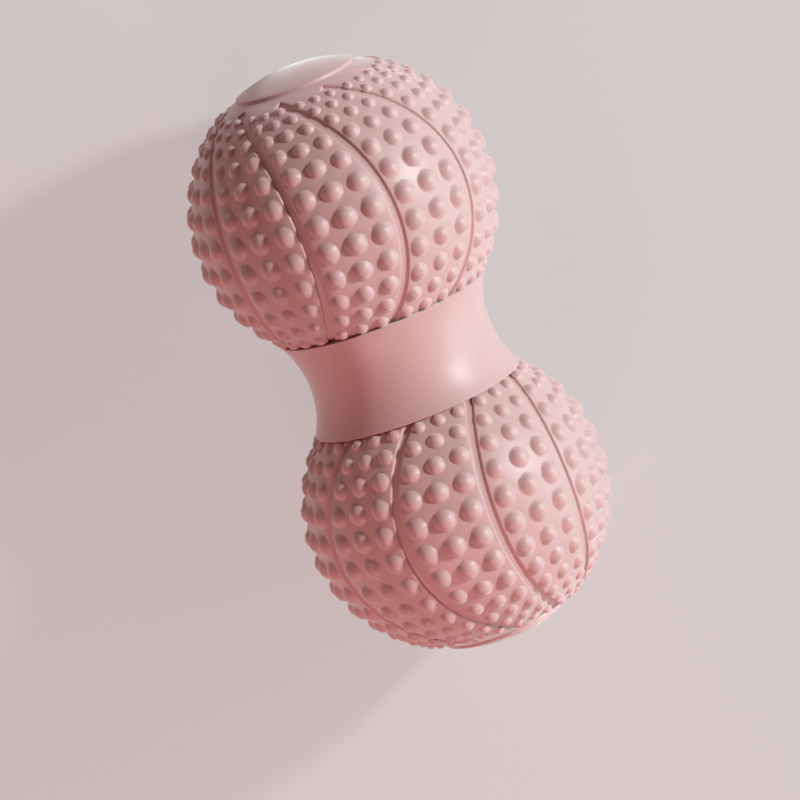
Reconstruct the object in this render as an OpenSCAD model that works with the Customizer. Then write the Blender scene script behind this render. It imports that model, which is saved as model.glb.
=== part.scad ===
// Peanut massage ball: two spherical lobes covered in rows of round nubs, joined by a smooth waist.
// The ball lies on its side on the nubs, with its long axis along X. All sizes are in mm.

/* [Lobes] */
// Diameter of each lobe's skin, measured between the nubs
lobe_d = 76.8; // [70:0.2:84]
// Distance between the centres of the two lobes
lobe_spacing = 81; // [78:0.5:88]
// Turn of one lobe's pattern against the other, in degrees
lobe_twist = 6.8; // [0:0.2:17]

/* [Gores and grooves] */
// Number of gores that each lobe is divided into
gores = 10; // [8:1:10]
// Width of the groove between two gores
groove_w = 2.1; // [1.4:0.1:3]
// Depth of the groove
groove_depth = 1; // [0.4:0.1:1.4]
// Distance that each groove's plane stands away from the long axis, which bows the gores
groove_offset = 18.8; // [10:0.2:21]
// Diameter of the ring round the end disc at which the grooves stop
groove_stop_d = 40.8; // [39:0.2:46]

/* [Nubs] */
// Diameter of the widest nubs, beside the lobe's equator
nub_d = 5.8; // [4:0.1:6.4]
// Height of the widest nubs
nub_h = 1.65; // [1:0.05:2.4]
// Columns of nubs in one gore
columns = 3; // [1:1:3]
// Distance between two columns at the equator
column_step = 7.4; // [6.8:0.1:7.8]
// Distance between the two rows beside the equator
row_step = 7.27; // [6.8:0.01:7.6]
// Rows from the equator to the end disc
end_rows = 7; // [4:1:7]
// Rows from the equator to the waist
waist_rows = 5; // [3:1:5]
// How strongly the nubs shrink and crowd together away from the equator
crowding = 1.45; // [1.2:0.05:1.6]

/* [End discs] */
// Diameter of the raised disc on each end
disc_d = 31.6; // [26:0.2:34]
// Height of the disc's edge above the smooth cap round it
disc_edge = 0.85; // [0.4:0.05:1.5]
// Radius of the disc's domed face
disc_crown_r = 42.5; // [36:0.5:60]
// Diameter of the smooth, flatter cap that the disc stands on
cap_d = 41.8; // [40:0.2:46]
// How far the middle of the cap lies below the lobe's own curve
cap_drop = 1.5; // [1:0.05:2]

/* [Waist] */
// Diameter of the collars where the waist ends against the lobes
collar_d = 55.8; // [53:0.2:60]
// How far the collars stand proud of the lobes
collar_step = 1.7; // [0.8:0.1:2.4]
// Depth of the hollow between the collars
waist_dip = 3.4; // [2:0.1:6]

/* [Edges] */
// Rounding of the discs' rims and of the collars' lips
edge_round = 0.4; // [0.2:0.05:0.7]

/* [Hidden] */
lobe_r = lobe_d / 2;
nub_r = nub_d / 2;
column_turn = column_step / lobe_r * 180 / PI;
row_turn = row_step / lobe_r * 180 / PI;
gore_turn = 360 / gores;
bow = asin(groove_offset / lobe_r);
groove_top = asin(sqrt(pow(lobe_r, 2) - pow(groove_stop_d / 2, 2)) / (lobe_r * cos(bow)));
seat_z = sqrt(pow(lobe_r, 2) - pow(collar_d / 2 - collar_step, 2));
groove_low = -asin((seat_z + 1) / (lobe_r * cos(bow)));
slot_w = groove_w * cos(bow);
disc_r = disc_d / 2;
cap_h = lobe_r - cap_drop;
cap_rise = cap_h - sqrt(pow(lobe_r, 2) - pow(cap_d / 2, 2));
cap_r = (pow(cap_d / 2, 2) + pow(cap_rise, 2)) / (2 * cap_rise);
rim_base = cap_h - cap_r + sqrt(pow(cap_r, 2) - pow(disc_r, 2));
crown_z = rim_base + disc_edge - sqrt(pow(disc_crown_r, 2) - pow(disc_r, 2));
rim_x = disc_r - edge_round;
rim_z = crown_z + sqrt(pow(disc_crown_r - edge_round, 2) - pow(rim_x, 2));
rim_end = rim_x * disc_crown_r / (disc_crown_r - edge_round);
waist_len = lobe_spacing - 2 * seat_z;
waist_r = collar_d / 2 - waist_dip;
waist_curve = (pow(waist_len / 2, 2) + pow(waist_dip, 2)) / (2 * waist_dip);
lip_z = waist_len / 2 - edge_round;
lip_x = waist_r + waist_curve - sqrt(pow(waist_curve + edge_round, 2) - pow(lip_z, 2));
lip_end = lip_z * waist_curve / (waist_curve + edge_round);
rest_h = nub_centre(row_turn / 2) * cos(row_turn / 2) + nub_ball(row_turn / 2);
pattern_turn = 0.7;
silicone = "#C9908D";

$fn = 96;

// Latitude of a row: each step shrinks with the size of the nubs
function latitude(k) =
  k == 0 ? row_turn / 2 : latitude(k - 1) + row_turn * pow(cos(latitude(k - 1) + 2), crowding);

// How far a bowed column has turned at a latitude
function bowed(lat) = asin(min(1, sin(bow) / cos(lat))) - bow;

// Size of the nubs at a latitude against those at the equator
function shrink(lat) = pow(cos(lat), crowding);

// Radius of the ball that a nub's dome is part of, and its centre's distance from the lobe's centre
function nub_ball(lat) = shrink(lat) * (nub_r * nub_r + nub_h * nub_h) / (2 * nub_h);
function nub_centre(lat) = lobe_r + shrink(lat) * nub_h - nub_ball(lat);

module nub(lat, turn) {
  rotate([0, 90 - lat, turn - bowed(lat)])
    translate([0, 0, nub_centre(lat)])
      sphere(nub_ball(lat), $fn = 16);
}

// Every nub of one lobe, with the lobe's end towards +Z
module nubs() {
  for (g = [0:gores - 1], c = [0:columns - 1], k = [-waist_rows:end_rows - 1])
    nub(k < 0 ? -latitude(-k - 1) : latitude(k), gore_turn * g + column_turn * (c - (columns - 1) / 2));
}

// The slot of one groove, which keeps to a plane beside the long axis
module slot(turn) {
  rotate([0, 0, turn + bow - 90])
    rotate([0, 90, 0])
      rotate_extrude(angle = groove_top - groove_low, start = 90 + groove_low)
        translate([lobe_r * cos(bow) - 2 * groove_depth, groove_offset - slot_w / 2])
          square([lobe_r, slot_w]);
}

// A lobe without its pattern, or what is left of it under a layer of the given depth
module plain_lobe(depth) {
  intersection() {
    sphere(lobe_r - depth);
    translate([0, 0, cap_h - cap_r])
      sphere(cap_r - depth);
  }
}

module lobe_body() {
  difference() {
    plain_lobe(0);
    difference() {
      for (g = [0:gores - 1])
        slot(gore_turn * (g + 0.5));
      plain_lobe(groove_depth);
    }
  }
}

module end_disc() {
  rotate_extrude() {
    square([disc_r, rim_z]);
    translate([rim_x, rim_z])
      circle(edge_round);
    intersection() {
      translate([0, crown_z])
        circle(disc_crown_r);
      square([rim_end, lobe_r + disc_edge]);
    }
  }
}

// Puts a lobe-sized thing at both ends of the ball, one turned end for end
module both_ends() {
  translate([0, 0, lobe_spacing / 2])
    rotate([0, 0, pattern_turn - 90])
      children();
  translate([0, 0, -lobe_spacing / 2])
    rotate([0, 0, pattern_turn - lobe_twist - 90])
      rotate([180, 0, 0])
        children();
}

module waist() {
  rotate_extrude() {
    difference() {
      union() {
        translate([0, -waist_len / 2])
          square([lip_x, waist_len]);
        translate([0, -lip_end])
          square([collar_d / 2, 2 * lip_end]);
      }
      translate([waist_r + waist_curve, 0])
        circle(waist_curve);
    }
    for (end = [-1, 1])
      translate([lip_x, end * lip_z])
        circle(edge_round);
  }
}

module ball() {
  color(silicone)
    translate([0, 0, rest_h])
      rotate([-90, 0, 0])
        rotate([0, 90, 0]) {
          waist();
          both_ends() lobe_body();
          both_ends() end_disc();
          both_ends() nubs();
        }
}

ball();
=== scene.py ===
"""Peanut massage ball of dusty pink silicone: two nubbed lobes joined by a smooth waist.

The ball lies on its nubs with its long axis along X, and the camera looks down on it from the
photograph's angle. Each mesh is drawn about the middle of its own lobe or waist, in metres, and
is then carried to its place on the ball.
"""

import logging
import math
from dataclasses import dataclass
from enum import Enum

import bpy
from mathutils import Matrix, Vector


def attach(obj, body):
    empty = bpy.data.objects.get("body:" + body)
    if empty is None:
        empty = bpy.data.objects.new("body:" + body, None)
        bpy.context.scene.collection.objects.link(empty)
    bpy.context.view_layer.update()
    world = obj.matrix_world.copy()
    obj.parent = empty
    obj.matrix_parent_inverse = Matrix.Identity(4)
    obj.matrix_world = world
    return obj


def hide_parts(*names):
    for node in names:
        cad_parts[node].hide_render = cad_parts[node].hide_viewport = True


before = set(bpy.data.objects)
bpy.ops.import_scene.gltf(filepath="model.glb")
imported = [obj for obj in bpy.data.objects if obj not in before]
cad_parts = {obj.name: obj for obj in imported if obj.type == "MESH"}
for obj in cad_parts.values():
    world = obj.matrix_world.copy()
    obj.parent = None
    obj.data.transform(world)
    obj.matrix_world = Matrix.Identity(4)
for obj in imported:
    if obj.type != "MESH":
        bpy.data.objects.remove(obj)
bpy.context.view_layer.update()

MM = 0.001
Point = tuple[float, float]
Colour = tuple[float, float, float, float]
log = logging.getLogger("massage_ball")


class Side(Enum):
    """The two lobes, by the end of the ball that each one makes in the photograph."""

    TOP = 1
    BOTTOM = -1


def linear(code: str, alpha: float = 1.0) -> Colour:
    """Turns a colour as it is seen on a screen into the linear one that shaders use.

    Args:
        code: sRGB colour as "#RRGGBB".
        alpha: Opacity.

    Returns:
        The linear colour with its opacity.
    """
    parts = [int(code[place : place + 2], 16) / 255 for place in (1, 3, 5)]
    channels = [part / 12.92 if part <= 0.04045 else ((part + 0.055) / 1.055) ** 2.4 for part in parts]
    return channels[0], channels[1], channels[2], alpha


def add_node(
    tree: bpy.types.NodeTree, kind: str, settings: dict | None = None, inputs: dict | None = None
) -> bpy.types.Node:
    """Adds a node to a tree, sets its options, and sets or links its inputs.

    Args:
        tree: Shader or geometry node tree.
        kind: The node's type.
        settings: Options of the node by name.
        inputs: A value or an output socket for each input, by the input's name or number.

    Returns:
        The new node.
    """
    node = tree.nodes.new(kind)
    for name, value in (settings or {}).items():
        setattr(node, name, value)
    for key, value in (inputs or {}).items():
        socket = node.inputs[key]
        if isinstance(value, bpy.types.NodeSocket):
            tree.links.new(value, socket)
        else:
            socket.default_value = value
    return node


def revolve(profile: list[Point], steps: int) -> tuple[list[Vector], list[tuple[int, ...]]]:
    """Turns a profile about the Z axis into a closed skin.

    Args:
        profile: Radius and height of each ring, in mm, from the top pole to the bottom one.
        steps: Faces round the axis.

    Returns:
        The points, in metres, and the faces, which point outwards.
    """
    points = [Vector((0, 0, profile[0][1])) * MM]
    for radius, height in profile[1:-1]:
        for step in range(steps):
            turn = math.tau * step / steps
            points.append(Vector((radius * math.cos(turn), radius * math.sin(turn), height)) * MM)
    points.append(Vector((0, 0, profile[-1][1])) * MM)
    bottom = len(points) - 1
    faces: list[tuple[int, ...]] = []
    for step in range(steps):
        after = (step + 1) % steps
        faces.append((0, 1 + step, 1 + after))
        faces.append((bottom, bottom - steps + after, bottom - steps + step))
        for ring in range(len(profile) - 3):
            start = 1 + ring * steps
            faces.append((start + step, start + steps + step, start + steps + after, start + after))
    return points, faces


def arc(centre: Point, radius: float, start: float, end: float, steps: int) -> list[Point]:
    """Points along an arc of a profile.

    Args:
        centre: Radius and height of the arc's centre, in mm.
        radius: Radius of the arc, in mm.
        start: Angle of the first point from straight up, in radians, outwards positive.
        end: Angle of the last point.
        steps: Number of pieces that the arc is divided into.

    Returns:
        The points, both ends included.
    """
    out, up = centre
    angles = [start + (end - start) * step / steps for step in range(steps + 1)]
    return [(out + radius * math.sin(angle), up + radius * math.cos(angle)) for angle in angles]


def new_object(name: str, points: list[Vector], faces: list[tuple[int, ...]]) -> bpy.types.Object:
    """Makes a smooth-shaded mesh object in the scene.

    Args:
        name: Name of the piece.
        points: Points of the mesh, in metres.
        faces: Corners of each face.

    Returns:
        The object.
    """
    mesh = bpy.data.meshes.new(name)
    mesh.from_pydata([tuple(point) for point in points], [], faces)
    mesh.polygons.foreach_set("use_smooth", [True] * len(mesh.polygons))
    piece = bpy.data.objects.new(name, mesh)
    bpy.context.scene.collection.objects.link(piece)
    return piece


@dataclass(frozen=True)
class MouldedSilicone:
    """Silicone rubber, pressed in a mould with a finely blasted cavity.

    The blasting leaves a satin skin: highlights are wide and soft, and turn pale at grazing
    angles. Light goes a little way into the rubber, so that shaded sides stay warm.
    """

    tone: str = "#CEA2A1"
    tone_deep: str = "#CA9B9A"
    cloud_mm: float = 30.0
    grain_mm: float = 0.45
    grain_depth_mm: float = 0.012
    ior: float = 1.4
    roughness: tuple[float, float] = (0.38, 0.46)
    light_within: float = 0.08
    light_reach_mm: float = 0.6
    light_reach: tuple[float, float, float] = (1.0, 0.4, 0.35)
    bloom: float = 0.65
    bloom_roughness: float = 0.42

    def material(self) -> bpy.types.Material:
        """Builds the material.

        Returns:
            The material, with its patterns on Object coordinates.
        """
        material = bpy.data.materials.new("moulded_silicone")
        material.use_nodes = True
        tree = material.node_tree
        tree.nodes.clear()
        place = add_node(tree, "ShaderNodeTexCoord").outputs["Object"]
        # The pigment is a little uneven from one patch to the next, as it is in mixed rubber, so that
        # the wide plain waist doesn't look painted.
        cloud = add_node(
            tree,
            "ShaderNodeTexNoise",
            inputs={"Vector": place, "Scale": 1 / (self.cloud_mm * MM), "Detail": 3.0},
        )
        tones = add_node(
            tree,
            "ShaderNodeMix",
            {"data_type": "RGBA"},
            {0: cloud.outputs["Fac"], 6: linear(self.tone), 7: linear(self.tone_deep)},
        )
        # The grain of the blasted mould breaks every highlight up into satin. The real one is finer
        # than a pixel, so it is drawn as coarse as it needs to show.
        grain = add_node(
            tree,
            "ShaderNodeTexNoise",
            inputs={"Vector": place, "Scale": 1 / (self.grain_mm * MM), "Detail": 2.0},
        )
        gloss = add_node(
            tree,
            "ShaderNodeMapRange",
            inputs={
                "Value": grain.outputs["Fac"],
                "To Min": self.roughness[0],
                "To Max": self.roughness[1],
            },
        )
        bump = add_node(
            tree,
            "ShaderNodeBump",
            inputs={"Height": grain.outputs["Fac"], "Distance": self.grain_depth_mm * MM, "Strength": 1.0},
        )
        # Red light goes furthest into the rubber, which keeps the shaded sides warm. The bloom on the
        # skin, a dry and powdery touch, turns it pale where it is seen or lit at a slant.
        rubber = add_node(
            tree,
            "ShaderNodeBsdfPrincipled",
            inputs={
                "Base Color": tones.outputs[2],
                "Roughness": gloss.outputs["Result"],
                "IOR": self.ior,
                "Normal": bump.outputs["Normal"],
                "Subsurface Weight": self.light_within,
                "Subsurface Radius": self.light_reach,
                "Subsurface Scale": self.light_reach_mm * MM,
                "Sheen Weight": self.bloom,
                "Sheen Roughness": self.bloom_roughness,
            },
        )
        add_node(tree, "ShaderNodeOutputMaterial", inputs={"Surface": rubber.outputs["BSDF"]})
        return material


def seen_ray(tree: bpy.types.NodeTree) -> bpy.types.NodeSocket:
    """Tells what is seen, straight on or in a gloss, from what only lights the ball.

    Args:
        tree: Shader tree that needs to know.

    Returns:
        An output that is 1 for what is seen and 0 for what lights.
    """
    path = add_node(tree, "ShaderNodeLightPath").outputs
    gloss = add_node(
        tree,
        "ShaderNodeMath",
        {"operation": "MAXIMUM"},
        {0: path["Is Glossy Ray"], 1: path["Is Transmission Ray"]},
    )
    seen = add_node(
        tree, "ShaderNodeMath", {"operation": "MAXIMUM"}, {0: path["Is Camera Ray"], 1: gloss.outputs[0]}
    )
    return seen.outputs[0]


@dataclass(frozen=True)
class MattPaper:
    """Seamless matt paper of a photographer's backdrop, rolled from wood pulp.

    It is lit evenly enough to keep only a soft shadow of the ball.
    """

    tone: str = "#D5CBCA"
    # White glow that glossy rays see on the paper: a painted reflection on the ball's edges.
    painted_reflection_tone: str = "#FFFFFF"
    evenness: float = 0.7
    roughness: float = 0.9
    fibre_mm: float = 1.2
    fibre_depth_mm: float = 0.02
    fibre_strength: float = 0.3

    def material(self) -> bpy.types.Material:
        """Builds the material.

        Returns:
            The material, with its fibres on Object coordinates.
        """
        material = bpy.data.materials.new("matt_paper")
        material.use_nodes = True
        tree = material.node_tree
        tree.nodes.clear()
        place = add_node(tree, "ShaderNodeTexCoord").outputs["Object"]
        # Pressed fibres give the paper a faint tooth. Real ones are finer than a pixel, so they are
        # drawn as coarse as they need to show.
        fibre = add_node(
            tree,
            "ShaderNodeTexNoise",
            inputs={"Vector": place, "Scale": 1 / (self.fibre_mm * MM), "Detail": 3.0},
        )
        bump = add_node(
            tree,
            "ShaderNodeBump",
            inputs={
                "Height": fibre.outputs["Fac"],
                "Distance": self.fibre_depth_mm * MM,
                "Strength": self.fibre_strength,
            },
        )
        paper = add_node(
            tree,
            "ShaderNodeBsdfPrincipled",
            inputs={
                "Base Color": linear(self.tone),
                "Roughness": self.roughness,
                "Normal": bump.outputs["Normal"],
            },
        )
        # Glossy rays see the paper as a white glow, brighter than it looks straight on and lit by no lamp,
        # which paints a white reflection on the satin edges of the ball.
        in_gloss = add_node(tree, "ShaderNodeLightPath").outputs["Is Glossy Ray"]
        tone = add_node(
            tree,
            "ShaderNodeMix",
            {"data_type": "RGBA"},
            {0: in_gloss, 6: linear(self.tone), 7: linear(self.painted_reflection_tone)},
        )
        even = add_node(tree, "ShaderNodeEmission", inputs={"Color": tone.outputs[2], "Strength": 1.0})
        share = add_node(
            tree, "ShaderNodeMath", {"operation": "MULTIPLY"}, {0: seen_ray(tree), 1: self.evenness}
        )
        lit = add_node(
            tree,
            "ShaderNodeMixShader",
            inputs={0: share.outputs[0], 1: paper.outputs["BSDF"], 2: even.outputs["Emission"]},
        )
        add_node(tree, "ShaderNodeOutputMaterial", inputs={"Surface": lit.outputs[0]})
        return material


@dataclass
class Lobe:
    """One nubbed lobe about its own centre, with its end disc towards +Z.

    Grooves divide the lobe into gores that bow to one side as they near the ends, and each gore
    carries columns of round nubs that bow with it. Sizes are in mm and angles in degrees.

    Attributes:
        base_z: Height at which the skin ends, inside the waist.
        bow: Turn of a groove by the latitude at which it ends, groove_end.
        crowding: How strongly the nubs shrink and crowd together away from the equator.
        cap_blend: Softness of the crease between the ball's curve and the cap.
        disc_foot: Height of the disc's lowest ring above the cap.
        row_lag: How far beyond a row the latitude lies that sets its distance to the next.
        lip_shares: Points of the groove's section, as shares of its lip.
        nub_skirt: Width of the brim round a nub's foot, under the skin.
        nub_sink: Depth of that brim under the skin.
        weld: Distance within which the edges of two gores are joined.
    """

    skin_d: float = 76.8
    base_z: float = -29.05
    gores: int = 10
    bow: float = 36.3
    groove_w: float = 2.1
    groove_depth: float = 0.7
    groove_lip: float = 0.3
    groove_end: float = 60.0
    nub_d: float = 5.8
    nub_h: float = 1.65
    nub_fillet: float = 0.18
    nub_root: float = 1.3
    columns: int = 3
    column_step: float = 7.4
    row_step: float = 7.27
    end_rows: int = 7
    waist_rows: int = 5
    crowding: float = 1.45
    disc_d: float = 31.6
    disc_edge: float = 0.85
    disc_crown_r: float = 42.5
    cap_r: float = 48.9
    cap_h: float = 36.9
    cap_blend: float = 0.06
    edge_round: float = 0.4
    disc_foot: float = 0.12
    row_lag: float = 2.0
    lip_shares: tuple[float, ...] = (-1.0, -0.6, -0.3, 0.0, 0.3, 0.6, 1.0)
    crown_rings: int = 9
    rim_rings: int = 5
    cap_rings: int = 5
    gore_rings: int = 44
    gore_strips: int = 7
    nub_sides: int = 16
    dome_rings: int = 4
    fillet_rings: int = 2
    nub_skirt: float = 0.25
    nub_sink: float = 0.03
    weld: float = 0.001

    @property
    def skin_r(self) -> float:
        """Radius of the skin between the nubs."""
        return self.skin_d / 2

    def turned(self, latitude: float) -> float:
        """Turn of a bowed column at a latitude, in radians."""
        return -math.radians(self.bow) * (1 / math.cos(latitude) - 1)

    def lean(self, latitude: float) -> tuple[float, float]:
        """Direction square to a groove at a latitude.

        Args:
            latitude: In radians.

        Returns:
            Its share along the parallel and its share along the meridian.
        """
        slope = math.radians(self.bow) * math.tan(latitude)
        length = math.hypot(1, slope)
        return 1 / length, slope / length

    def skin_at(self, latitude: float) -> float:
        """Distance of the skin from the lobe's centre, with the ball's curve flowing into the flatter cap.

        Args:
            latitude: In radians.

        Returns:
            The distance in mm.
        """
        cap_z = self.cap_h - self.cap_r
        level = cap_z * math.cos(latitude)
        cap = cap_z * math.sin(latitude) + math.sqrt(self.cap_r**2 - level**2)
        half = (self.skin_r - cap) / 2
        return (self.skin_r + cap) / 2 - math.hypot(half, self.cap_blend)

    def lip(self, inside: float) -> float:
        """Depth of the groove at a distance inside its edge, in mm: round lip, steep wall, flat floor."""
        share = min(1.0, max(0.0, (inside + self.groove_lip) / (2 * self.groove_lip)))
        return self.groove_depth * share**3 * (10 - 15 * share + 6 * share**2)

    def lip_steps(self) -> list[float]:
        """Distances inside the groove's edge at which its section has a point, from skin to floor."""
        return [self.groove_lip * share for share in self.lip_shares]

    def row_latitudes(self, rows: int) -> list[float]:
        """Latitudes of the rows on one side of the equator, each step shrinking with the nubs.

        Args:
            rows: Number of rows.

        Returns:
            The latitudes in radians, from the equator outwards.
        """
        step = self.row_step / self.skin_r
        lag = math.radians(self.row_lag)
        latitudes = [step / 2]
        while len(latitudes) < rows:
            latitudes.append(latitudes[-1] + step * math.cos(latitudes[-1] + lag) ** self.crowding)
        return latitudes

    def rest_height(self) -> float:
        """Height of the lobe's centre when the ball rests on its widest nubs.

        Returns:
            The height above the floor in mm.
        """
        latitude = self.row_latitudes(1)[0]
        share = math.cos(latitude) ** self.crowding
        dome_r = share * self.dome_r()
        return (self.skin_r + share * self.nub_h - dome_r) * math.cos(latitude) + dome_r

    def dome_r(self) -> float:
        """Radius of the ball that the widest nub's dome is part of, in mm."""
        return ((self.nub_d / 2) ** 2 + self.nub_h**2) / (2 * self.nub_h)

    def disc_profile(self) -> list[Point]:
        """Profile of the end disc, from its middle over the rounded rim down to the cap.

        Returns:
            Radius and height of each point, in mm.
        """
        disc_r, rim_base = self.rim_foot()
        crown_z = rim_base + self.disc_edge - math.sqrt(self.disc_crown_r**2 - disc_r**2)
        rim_x = disc_r - self.edge_round
        tilt = math.asin(rim_x / (self.disc_crown_r - self.edge_round))
        rim_z = crown_z + (self.disc_crown_r - self.edge_round) * math.cos(tilt)
        crown = arc((0, crown_z), self.disc_crown_r, 0, tilt, self.crown_rings)
        rim = arc((rim_x, rim_z), self.edge_round, tilt, math.pi / 2, self.rim_rings)
        return crown + rim[1:] + [(disc_r, rim_base + self.disc_foot)]

    def rim_foot(self) -> Point:
        """Radius and height at which the side of the end disc meets the cap, in mm."""
        disc_r = self.disc_d / 2
        return disc_r, self.cap_h - self.cap_r + math.sqrt(self.cap_r**2 - disc_r**2)

    def gore_rows(self) -> list[float]:
        """Rows of the gore's mesh below the disc, close together at the groove's end.

        Returns:
            The latitude of each row in radians, from the disc down.
        """
        radius, height = self.rim_foot()
        rim = math.atan2(height, radius)
        end = math.radians(self.groove_end)
        base = math.asin(self.base_z / self.skin_r)
        smooth = [rim + (end - rim) * step / self.cap_rings for step in range(self.cap_rings)]
        squared = [end - distance / self.along_groove() for distance in self.lip_steps()]
        drop = (base - squared[-1]) / self.gore_rings
        sweep = [squared[-1] + drop * step for step in range(1, self.gore_rings + 1)]
        return smooth + squared + sweep

    def along_groove(self) -> float:
        """Distance along a groove for each radian of latitude at the groove's end, in mm."""
        end = math.radians(self.groove_end)
        return self.skin_at(end) / self.lean(end)[0]

    def gore_columns(self) -> list[Point]:
        """Columns of the gore's mesh.

        Returns:
            For each column its distance from the middle of its groove, in mm, and its share of the way
            across the gore.
        """
        sides = [self.groove_w / 2 - inside for inside in reversed(self.lip_steps())]
        left = [(0.0, 0.0)] + [(side, 0.0) for side in sides]
        between = [(0.0, step / self.gore_strips) for step in range(1, self.gore_strips)]
        return left + between + [(-side, 1.0) for side, _ in reversed(left)]

    def column_place(self, column: Point, latitude: float) -> Point:
        """Where a column of the gore's mesh crosses a latitude, square to the groove beside it.

        Args:
            column: Distance from the middle of the groove in mm, and share of the way across the gore.
            latitude: In radians.

        Returns:
            Turn about the axis and latitude, in radians.
        """
        offset, share = column
        end = math.radians(self.groove_end)
        rim = self.gore_rows()[0]
        held = min(latitude, end)
        east, north = self.lean(held)
        radius = self.skin_at(held)
        spread = east / (radius * math.cos(held))
        gore = math.tau / self.gores
        lip = self.groove_w / 2 + self.groove_lip
        if share in (0.0, 1.0):
            turn = offset * spread + share * gore
            shift = offset * north / radius
        else:
            turn = lip * spread * (1 - 2 * share) + share * gore
            shift = lip * north / radius * (1 - 2 * share)
        fade = min(1.0, max(0.0, (rim - latitude) / (rim - end)))
        return self.turned(held) + turn - gore / 2, latitude + shift * fade

    def gore_mesh(self) -> tuple[list[Vector], list[tuple[int, ...]]]:
        """Skin of one gore, from the middle of one groove to the middle of the next and up over the disc.

        Returns:
            The points, in metres, and the faces, which point outwards.
        """
        columns = self.gore_columns()
        rows = self.gore_rows()
        end = math.radians(self.groove_end)
        points: list[Vector] = []
        turns = [self.column_place(column, rows[0])[0] for column in columns]
        for radius, height in self.disc_profile():
            for turn in turns:
                points.append(Vector((radius * math.cos(turn), radius * math.sin(turn), height)) * MM)
        for latitude in rows:
            cut = self.lip((end - latitude) * self.along_groove())
            for column in columns:
                turn, place = self.column_place(column, latitude)
                in_groove = column[1] in (0.0, 1.0)
                depth = min(cut, self.lip(self.groove_w / 2 - abs(column[0]))) if in_groove else 0.0
                reach = self.skin_at(place) - depth
                flat = reach * math.cos(place)
                points.append(
                    Vector((flat * math.cos(turn), flat * math.sin(turn), reach * math.sin(place))) * MM
                )
        points += [Vector((0, 0, self.base_z)) * MM] * len(columns)
        width = len(columns)
        faces = []
        for start in range(0, len(points) - width, width):
            for corner in range(start, start + width - 1):
                faces.append((corner, corner + width, corner + width + 1, corner + 1))
        return points, faces

    def nub_mesh(self) -> tuple[list[Vector], list[tuple[int, ...]]]:
        """The widest nub on the origin: a dome with a soft fillet at its foot and a root below the skin.

        Returns:
            The points, in metres, and the faces, which point outwards.
        """
        dome_r = self.dome_r()
        dome_z = self.nub_h - dome_r
        foot_x = math.sqrt((dome_r + self.nub_fillet) ** 2 - (self.nub_fillet - dome_z) ** 2)
        tilt = math.atan2(foot_x, self.nub_fillet - dome_z)
        dome = arc((0, dome_z), dome_r, 0, tilt, self.dome_rings)
        foot = (foot_x, self.nub_fillet)
        fillet = arc(foot, self.nub_fillet, math.pi + tilt, math.pi, self.fillet_rings)
        profile = [(radius, height - radius**2 / self.skin_d) for radius, height in dome + fillet[1:]]
        skirt = foot_x + self.nub_skirt
        profile.append((skirt, -(skirt**2) / self.skin_d - self.nub_sink))
        profile.append((self.nub_d / 2, -self.nub_root))
        profile.append((0, -self.nub_root))
        return revolve(profile, self.nub_sides)

    def node_tree(self) -> bpy.types.NodeTree:
        """Builds the geometry nodes that turn one gore, one column of nub places and one nub into a lobe.

        Returns:
            The tree, which sets the gore round the axis and a nub on each place of each column.
        """
        tree = bpy.data.node_groups.new("nubbed_lobe", "GeometryNodeTree")
        tree.interface.new_socket("Geometry", in_out="OUTPUT", socket_type="NodeSocketGeometry")
        sockets = {
            "Geometry": "NodeSocketGeometry",
            "Nub": "NodeSocketObject",
            "Nub Places": "NodeSocketObject",
            "Gores": "NodeSocketInt",
            "Columns": "NodeSocketInt",
            "Column Turn": "NodeSocketFloat",
            "Weld": "NodeSocketFloat",
            "Finish": "NodeSocketMaterial",
        }
        for name, kind in sockets.items():
            tree.interface.new_socket(name, in_out="INPUT", socket_type=kind)
        given = add_node(tree, "NodeGroupInput").outputs
        index = add_node(tree, "GeometryNodeInputIndex").outputs["Index"]

        # The skin: one gore at each step round the axis, welded to its neighbours.
        gore_turn = add_node(
            tree, "ShaderNodeMath", {"operation": "DIVIDE"}, {0: math.tau, 1: given["Gores"]}
        )
        turn = add_node(
            tree, "ShaderNodeMath", {"operation": "MULTIPLY"}, {0: index, 1: gore_turn.outputs[0]}
        )
        gore_spin = add_node(tree, "ShaderNodeCombineXYZ", inputs={"Z": turn.outputs[0]})
        gore_slots = add_node(
            tree, "GeometryNodeMeshLine", inputs={"Count": given["Gores"], "Offset": (0, 0, 0)}
        )
        gores = add_node(
            tree,
            "GeometryNodeInstanceOnPoints",
            inputs={
                "Points": gore_slots.outputs["Mesh"],
                "Instance": given["Geometry"],
                "Rotation": add_node(
                    tree, "FunctionNodeEulerToRotation", inputs={"Euler": gore_spin.outputs[0]}
                ).outputs[0],
            },
        )
        loose = add_node(tree, "GeometryNodeRealizeInstances", inputs={"Geometry": gores.outputs[0]})
        skin = add_node(
            tree,
            "GeometryNodeMergeByDistance",
            inputs={"Geometry": loose.outputs[0], "Distance": given["Weld"]},
        )

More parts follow.
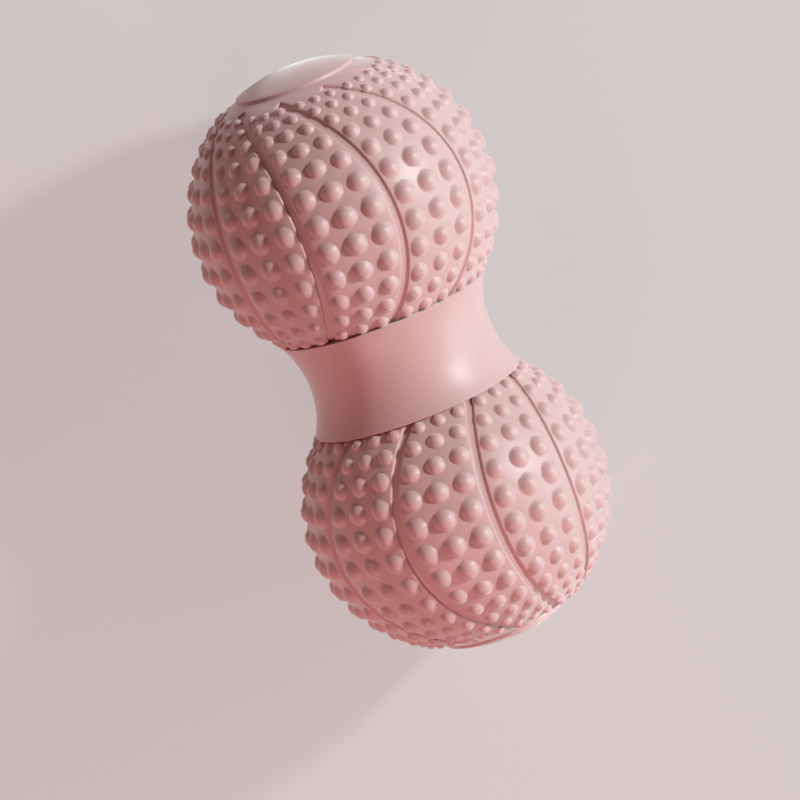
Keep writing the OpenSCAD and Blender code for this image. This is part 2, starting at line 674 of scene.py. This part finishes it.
        # The nub places: one column of them for each column of each gore, side by side about its middle.
        total = add_node(
            tree, "ShaderNodeMath", {"operation": "MULTIPLY"}, {0: given["Gores"], 1: given["Columns"]}
        )
        column_slots = add_node(
            tree, "GeometryNodeMeshLine", inputs={"Count": total.outputs[0], "Offset": (0, 0, 0)}
        )
        ratio = add_node(tree, "ShaderNodeMath", {"operation": "DIVIDE"}, {0: index, 1: given["Columns"]})
        gore_no = add_node(tree, "ShaderNodeMath", {"operation": "FLOOR"}, {0: ratio.outputs[0]})
        in_gore = add_node(tree, "ShaderNodeMath", {"operation": "MODULO"}, {0: index, 1: given["Columns"]})
        last = add_node(tree, "ShaderNodeMath", {"operation": "SUBTRACT"}, {0: given["Columns"], 1: 1.0})
        middle = add_node(tree, "ShaderNodeMath", {"operation": "DIVIDE"}, {0: last.outputs[0], 1: 2.0})
        from_middle = add_node(
            tree, "ShaderNodeMath", {"operation": "SUBTRACT"}, {0: in_gore.outputs[0], 1: middle.outputs[0]}
        )
        gore_part = add_node(
            tree,
            "ShaderNodeMath",
            {"operation": "MULTIPLY"},
            {0: gore_no.outputs[0], 1: gore_turn.outputs[0]},
        )
        column_turn = add_node(
            tree,
            "ShaderNodeMath",
            {"operation": "MULTIPLY_ADD"},
            {0: from_middle.outputs[0], 1: given["Column Turn"], 2: gore_part.outputs[0]},
        )
        column_spin = add_node(tree, "ShaderNodeCombineXYZ", inputs={"Z": column_turn.outputs[0]})
        places = add_node(
            tree, "GeometryNodeObjectInfo", {"transform_space": "ORIGINAL"}, {"Object": given["Nub Places"]}
        )
        columns = add_node(
            tree,
            "GeometryNodeInstanceOnPoints",
            inputs={
                "Points": column_slots.outputs["Mesh"],
                "Instance": places.outputs["Geometry"],
                "Rotation": add_node(
                    tree, "FunctionNodeEulerToRotation", inputs={"Euler": column_spin.outputs[0]}
                ).outputs[0],
            },
        )
        all_places = add_node(tree, "GeometryNodeRealizeInstances", inputs={"Geometry": columns.outputs[0]})

        # The nubs: one on each place, square to the skin and at its own share of full size.
        position = add_node(tree, "GeometryNodeInputPosition").outputs[0]
        outwards = add_node(tree, "FunctionNodeAlignRotationToVector", {"axis": "Z"}, {"Vector": position})
        share = add_node(tree, "GeometryNodeInputNamedAttribute", {"data_type": "FLOAT"}, {"Name": "share"})
        nub = add_node(
            tree, "GeometryNodeObjectInfo", {"transform_space": "ORIGINAL"}, {"Object": given["Nub"]}
        )
        nubs = add_node(
            tree,
            "GeometryNodeInstanceOnPoints",
            inputs={
                "Points": all_places.outputs[0],
                "Instance": nub.outputs["Geometry"],
                "Rotation": outwards.outputs[0],
                "Scale": share.outputs["Attribute"],
            },
        )
        joined = add_node(tree, "GeometryNodeJoinGeometry")
        tree.links.new(nubs.outputs[0], joined.inputs[0])
        tree.links.new(skin.outputs["Geometry"], joined.inputs[0])
        real = add_node(tree, "GeometryNodeRealizeInstances", inputs={"Geometry": joined.outputs[0]})
        dressed = add_node(
            tree,
            "GeometryNodeSetMaterial",
            inputs={"Geometry": real.outputs[0], "Material": given["Finish"]},
        )
        add_node(tree, "NodeGroupOutput", inputs={0: dressed.outputs[0]})
        return tree

    def nub_places(self) -> bpy.types.Object:
        """Points where the nubs of one column stand on the skin.

        Returns:
            An object of points that carry their nub's share of full size.
        """
        latitudes = [-latitude for latitude in self.row_latitudes(self.waist_rows)]
        latitudes += self.row_latitudes(self.end_rows)
        points = []
        for latitude in latitudes:
            turn = self.turned(latitude)
            flat = self.skin_r * math.cos(latitude)
            height = self.skin_r * math.sin(latitude)
            points.append(Vector((flat * math.cos(turn), flat * math.sin(turn), height)) * MM)
        places = new_object("nub_places", points, [])
        share = places.data.attributes.new("share", "FLOAT", "POINT")
        share.data.foreach_set("value", [math.cos(latitude) ** self.crowding for latitude in latitudes])
        return places

    def build(self, name: str, place: Matrix, finish: bpy.types.Material) -> bpy.types.Object:
        """Builds the lobe and puts it in its place on the ball.

        Args:
            name: Name of the piece.
            place: Carries the lobe from its own centre to the ball.
            finish: Material of the lobe.

        Returns:
            The finished piece, a plain mesh.
        """
        lobe = new_object(name, *self.gore_mesh())
        nub = new_object("nub", *self.nub_mesh())
        places = self.nub_places()
        values = {
            "Nub": nub,
            "Nub Places": places,
            "Gores": self.gores,
            "Columns": self.columns,
            "Column Turn": self.column_step / self.skin_r,
            "Weld": self.weld * MM,
            "Finish": finish,
        }
        modifier = lobe.modifiers.new("nubbed_lobe", "NODES")
        modifier.node_group = self.node_tree()
        for socket in modifier.node_group.interface.items_tree:
            if socket.in_out == "INPUT" and socket.name in values:
                modifier[socket.identifier] = values[socket.name]
        evaluated = lobe.evaluated_get(bpy.context.evaluated_depsgraph_get())
        mesh = bpy.data.meshes.new_from_object(evaluated)
        lobe.modifiers.remove(modifier)
        mesh.name = name
        mesh.transform(place)
        mesh.polygons.foreach_set("use_smooth", [True] * len(mesh.polygons))
        lobe.data = mesh
        for helper in (nub, places):
            bpy.data.objects.remove(helper)
        return lobe


@dataclass
class Waist:
    """The smooth waist between the lobes, about its own middle, with its axis along Z.

    Sizes are in mm. The end rings are distances of rings on the flat ends inside the lip.
    """

    waist_d: float = 49.0
    collar_d: float = 55.8
    length: float = 25.5
    lip_round: float = 0.15
    end_rings: tuple[float, float] = (2.5, 0.4)
    lip_rings: int = 8
    hollow_rings: int = 20
    sides: int = 200

    def profile(self) -> list[Point]:
        """Section of the waist: a hollow curve between two collars with rounded lips.

        Returns:
            Radius and height of each ring, in mm, from the top pole to the bottom one.
        """
        dip = (self.collar_d - self.waist_d) / 2
        curve_r = ((self.length / 2) ** 2 + dip**2) / (2 * dip)
        curve_x = self.waist_d / 2 + curve_r
        lip_z = self.length / 2 - self.lip_round
        lip_x = curve_x - math.sqrt((curve_r + self.lip_round) ** 2 - lip_z**2)
        tilt = math.atan2(curve_x - lip_x, lip_z)
        lip = arc((lip_x, lip_z), self.lip_round, 0, math.pi - tilt, self.lip_rings)
        hollow = arc((curve_x, 0), curve_r, -tilt, -math.pi / 2, self.hollow_rings)
        end = [(0, self.length / 2)] + [(lip_x - inside, self.length / 2) for inside in self.end_rings]
        half = end + lip + hollow[1:]
        return half + [(radius, -height) for radius, height in reversed(half[:-1])]

    def build(self, name: str, place: Matrix, finish: bpy.types.Material) -> bpy.types.Object:
        """Builds the waist and puts it in its place on the ball.

        Args:
            name: Name of the piece.
            place: Carries the waist from its own middle to the ball.
            finish: Material of the waist.

        Returns:
            The finished piece.
        """
        waist = new_object(name, *revolve(self.profile(), self.sides))
        waist.data.transform(place)
        waist.data.materials.append(finish)
        return waist


@dataclass
class MassageBall:
    """The whole ball: two lobes turned end for end, and the waist that joins them. Sizes are in mm."""

    lobe: Lobe
    waist: Waist
    finish: MouldedSilicone
    spacing: float = 81.0
    lobe_twist: float = 6.8
    pattern_turn: float = 0.7

    def lying(self) -> Matrix:
        """Carries the ball from standing on its own middle to lying on its nubs along X."""
        lift = Matrix.Translation((0, 0, self.lobe.rest_height() * MM))
        return lift @ Matrix.Rotation(-math.pi / 2, 4, "X") @ Matrix.Rotation(math.pi / 2, 4, "Y")

    def lobe_place(self, side: Side) -> Matrix:
        """Where a lobe belongs on the ball.

        Args:
            side: Which lobe.

        Returns:
            The matrix that carries it there from its own centre.
        """
        turn = self.pattern_turn - 90
        flip = Matrix.Identity(4)
        if side is Side.BOTTOM:
            turn -= self.lobe_twist
            flip = Matrix.Rotation(math.pi, 4, "X")
        shift = Matrix.Translation((0, 0, side.value * self.spacing / 2 * MM))
        return self.lying() @ shift @ Matrix.Rotation(math.radians(turn), 4, "Z") @ flip

    def build(self) -> None:
        """Builds every piece of the ball and lets it stand for the moulding of the frame."""
        rubber = self.finish.material()
        pieces = []
        for side in Side:
            pieces.append(self.lobe.build(f"lobe_{side.name.lower()}", self.lobe_place(side), rubber))
        pieces.append(self.waist.build("waist", self.lying(), rubber))
        for piece in pieces:
            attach(piece, "root")
            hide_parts("ball")
            log.info("%s: %d faces", piece.name, len(piece.data.polygons))


@dataclass
class PhotoCamera:
    """A long lens that looks down on the ball, with the ball's long axis leaning as in the photograph.

    Lens and sensor are in mm, the other sizes in metres and the angles in degrees.
    """

    lens: float = 361.4
    sensor: float = 36.0
    far_end: float = 20.0
    distance: float = 2.042
    lean: float = 21.2
    tip: float = 11.01
    roll: float = 1.4
    aim_right: float = -0.00003
    aim_down: float = -0.01203

    def turned(self) -> Matrix:
        """Turns the camera from an upright ball that is seen square on to the photograph's view.

        Returns:
            The turn, without the camera's place.
        """
        square_on = Matrix(((0, 1, 0, 0), (-1, 0, 0, 0), (0, 0, 1, 0), (0, 0, 0, 1)))
        roll = Matrix.Rotation(math.radians(self.roll), 4, "X")
        tip = Matrix.Rotation(math.radians(self.tip), 4, "Y")
        return roll @ tip @ square_on @ Matrix.Rotation(math.radians(-self.lean), 4, "Z")

    def build(self, target: Vector) -> Matrix:
        """Adds the camera.

        Args:
            target: Middle of the ball, in metres.

        Returns:
            The turn of the camera, whose axes are right, up and towards the camera.
        """
        turned = self.turned()
        data = bpy.data.cameras.new("camera")
        data.lens = self.lens
        data.sensor_width = self.sensor
        data.clip_end = self.far_end
        camera = bpy.data.objects.new("camera", data)
        offset = turned @ Vector((-self.aim_right, self.aim_down, self.distance))
        camera.matrix_world = Matrix.Translation(target + offset) @ turned
        bpy.context.scene.collection.objects.link(camera)
        bpy.context.scene.camera = camera
        log.info("camera: lens %.1f mm at %.2f m", self.lens, self.distance)
        return turned


@dataclass(frozen=True)
class Lamp:
    """A soft box that points at the ball, placed by the camera's own right, up and near.

    Distance and size are in metres and power is in watts.
    """

    name: str
    towards: tuple[float, float, float]
    distance: float
    size: float
    power: float
    tint: str = "#FFFFFF"

    def build(self, target: Vector, axes: Matrix) -> None:
        """Adds the lamp.

        Args:
            target: Middle of the ball, in metres.
            axes: Turn whose axes are the camera's right, up and near.
        """
        data = bpy.data.lights.new(self.name, "AREA")
        data.shape = "DISK"
        data.size = self.size
        data.energy = self.power
        data.color = linear(self.tint)[:3]
        lamp = bpy.data.objects.new(self.name, data)
        direction = (axes.to_3x3() @ Vector(self.towards)).normalized()
        lamp.location = target + direction * self.distance
        lamp.rotation_euler = direction.to_track_quat("Z", "Y").to_euler()
        bpy.context.scene.collection.objects.link(lamp)
        log.info("lamp %s: %.1f W", self.name, self.power)


@dataclass
class Studio:
    """Plain pale floor and soft studio light, in the rosy air of a pink room."""

    paper: MattPaper
    lamps: tuple[Lamp, ...]
    air: str = "#E8AAA5"
    air_strength: float = 0.12
    floor_size: float = 6.0

    def build(self, target: Vector, axes: Matrix) -> None:
        """Adds the floor, the lamps and the even light of the room.

        Args:
            target: Middle of the ball, in metres.
            axes: Turn whose axes are the camera's right, up and near.
        """
        half = self.floor_size / 2
        corners = [Vector((x * half, y * half, 0)) for x, y in ((-1, -1), (1, -1), (1, 1), (-1, 1))]
        floor = new_object("floor", corners, [(0, 1, 2, 3)])
        floor.data.materials.append(self.paper.material())
        for lamp in self.lamps:
            lamp.build(target, axes)
        world = bpy.data.worlds.new("room")
        bpy.context.scene.world = world
        world.use_nodes = True
        tree = world.node_tree
        tree.nodes.clear()
        # What is seen past the floor is as pale as the paper, and only the dim rosy air lights the ball.
        seen = seen_ray(tree)
        strength = add_node(tree, "ShaderNodeMix", inputs={0: seen, 2: self.air_strength, 3: 1.0})
        tone = add_node(
            tree,
            "ShaderNodeMix",
            {"data_type": "RGBA"},
            {0: seen, 6: linear(self.air), 7: linear(self.paper.tone)},
        )
        air = add_node(
            tree, "ShaderNodeBackground", inputs={"Color": tone.outputs[2], "Strength": strength.outputs[0]}
        )
        add_node(tree, "ShaderNodeOutputWorld", inputs={"Surface": air.outputs["Background"]})


def main() -> None:
    """Builds the ball, the camera and the studio, and notes the size of what was built."""
    logging.basicConfig(level=logging.INFO, format="%(message)s")
    ball = MassageBall(Lobe(), Waist(), MouldedSilicone())
    ball.build()
    target = Vector((0, 0, ball.lobe.rest_height() * MM))
    axes = PhotoCamera().build(target)
    lamps = (
        Lamp("key", (0.735, 0.4, 0.55), 1.2, 0.13, 15.5, "#EEFFFF"),
        Lamp("side", (0.98, 0.03, 0.15), 1.2, 0.8, 7.3, "#C0FAFF"),
        Lamp("bounce", (-0.05, -0.87, 0.48), 0.5, 0.3, 1.3, "#FFC4BF"),
        Lamp("back", (-0.9, 0.4, 0.2), 1.2, 0.12, 1.15, "#FFC8C2"),
    )
    Studio(MattPaper(), lamps).build(target, axes)
    scene = bpy.context.scene
    scene.view_settings.view_transform = "Standard"


if __name__ == "__main__":
    main()
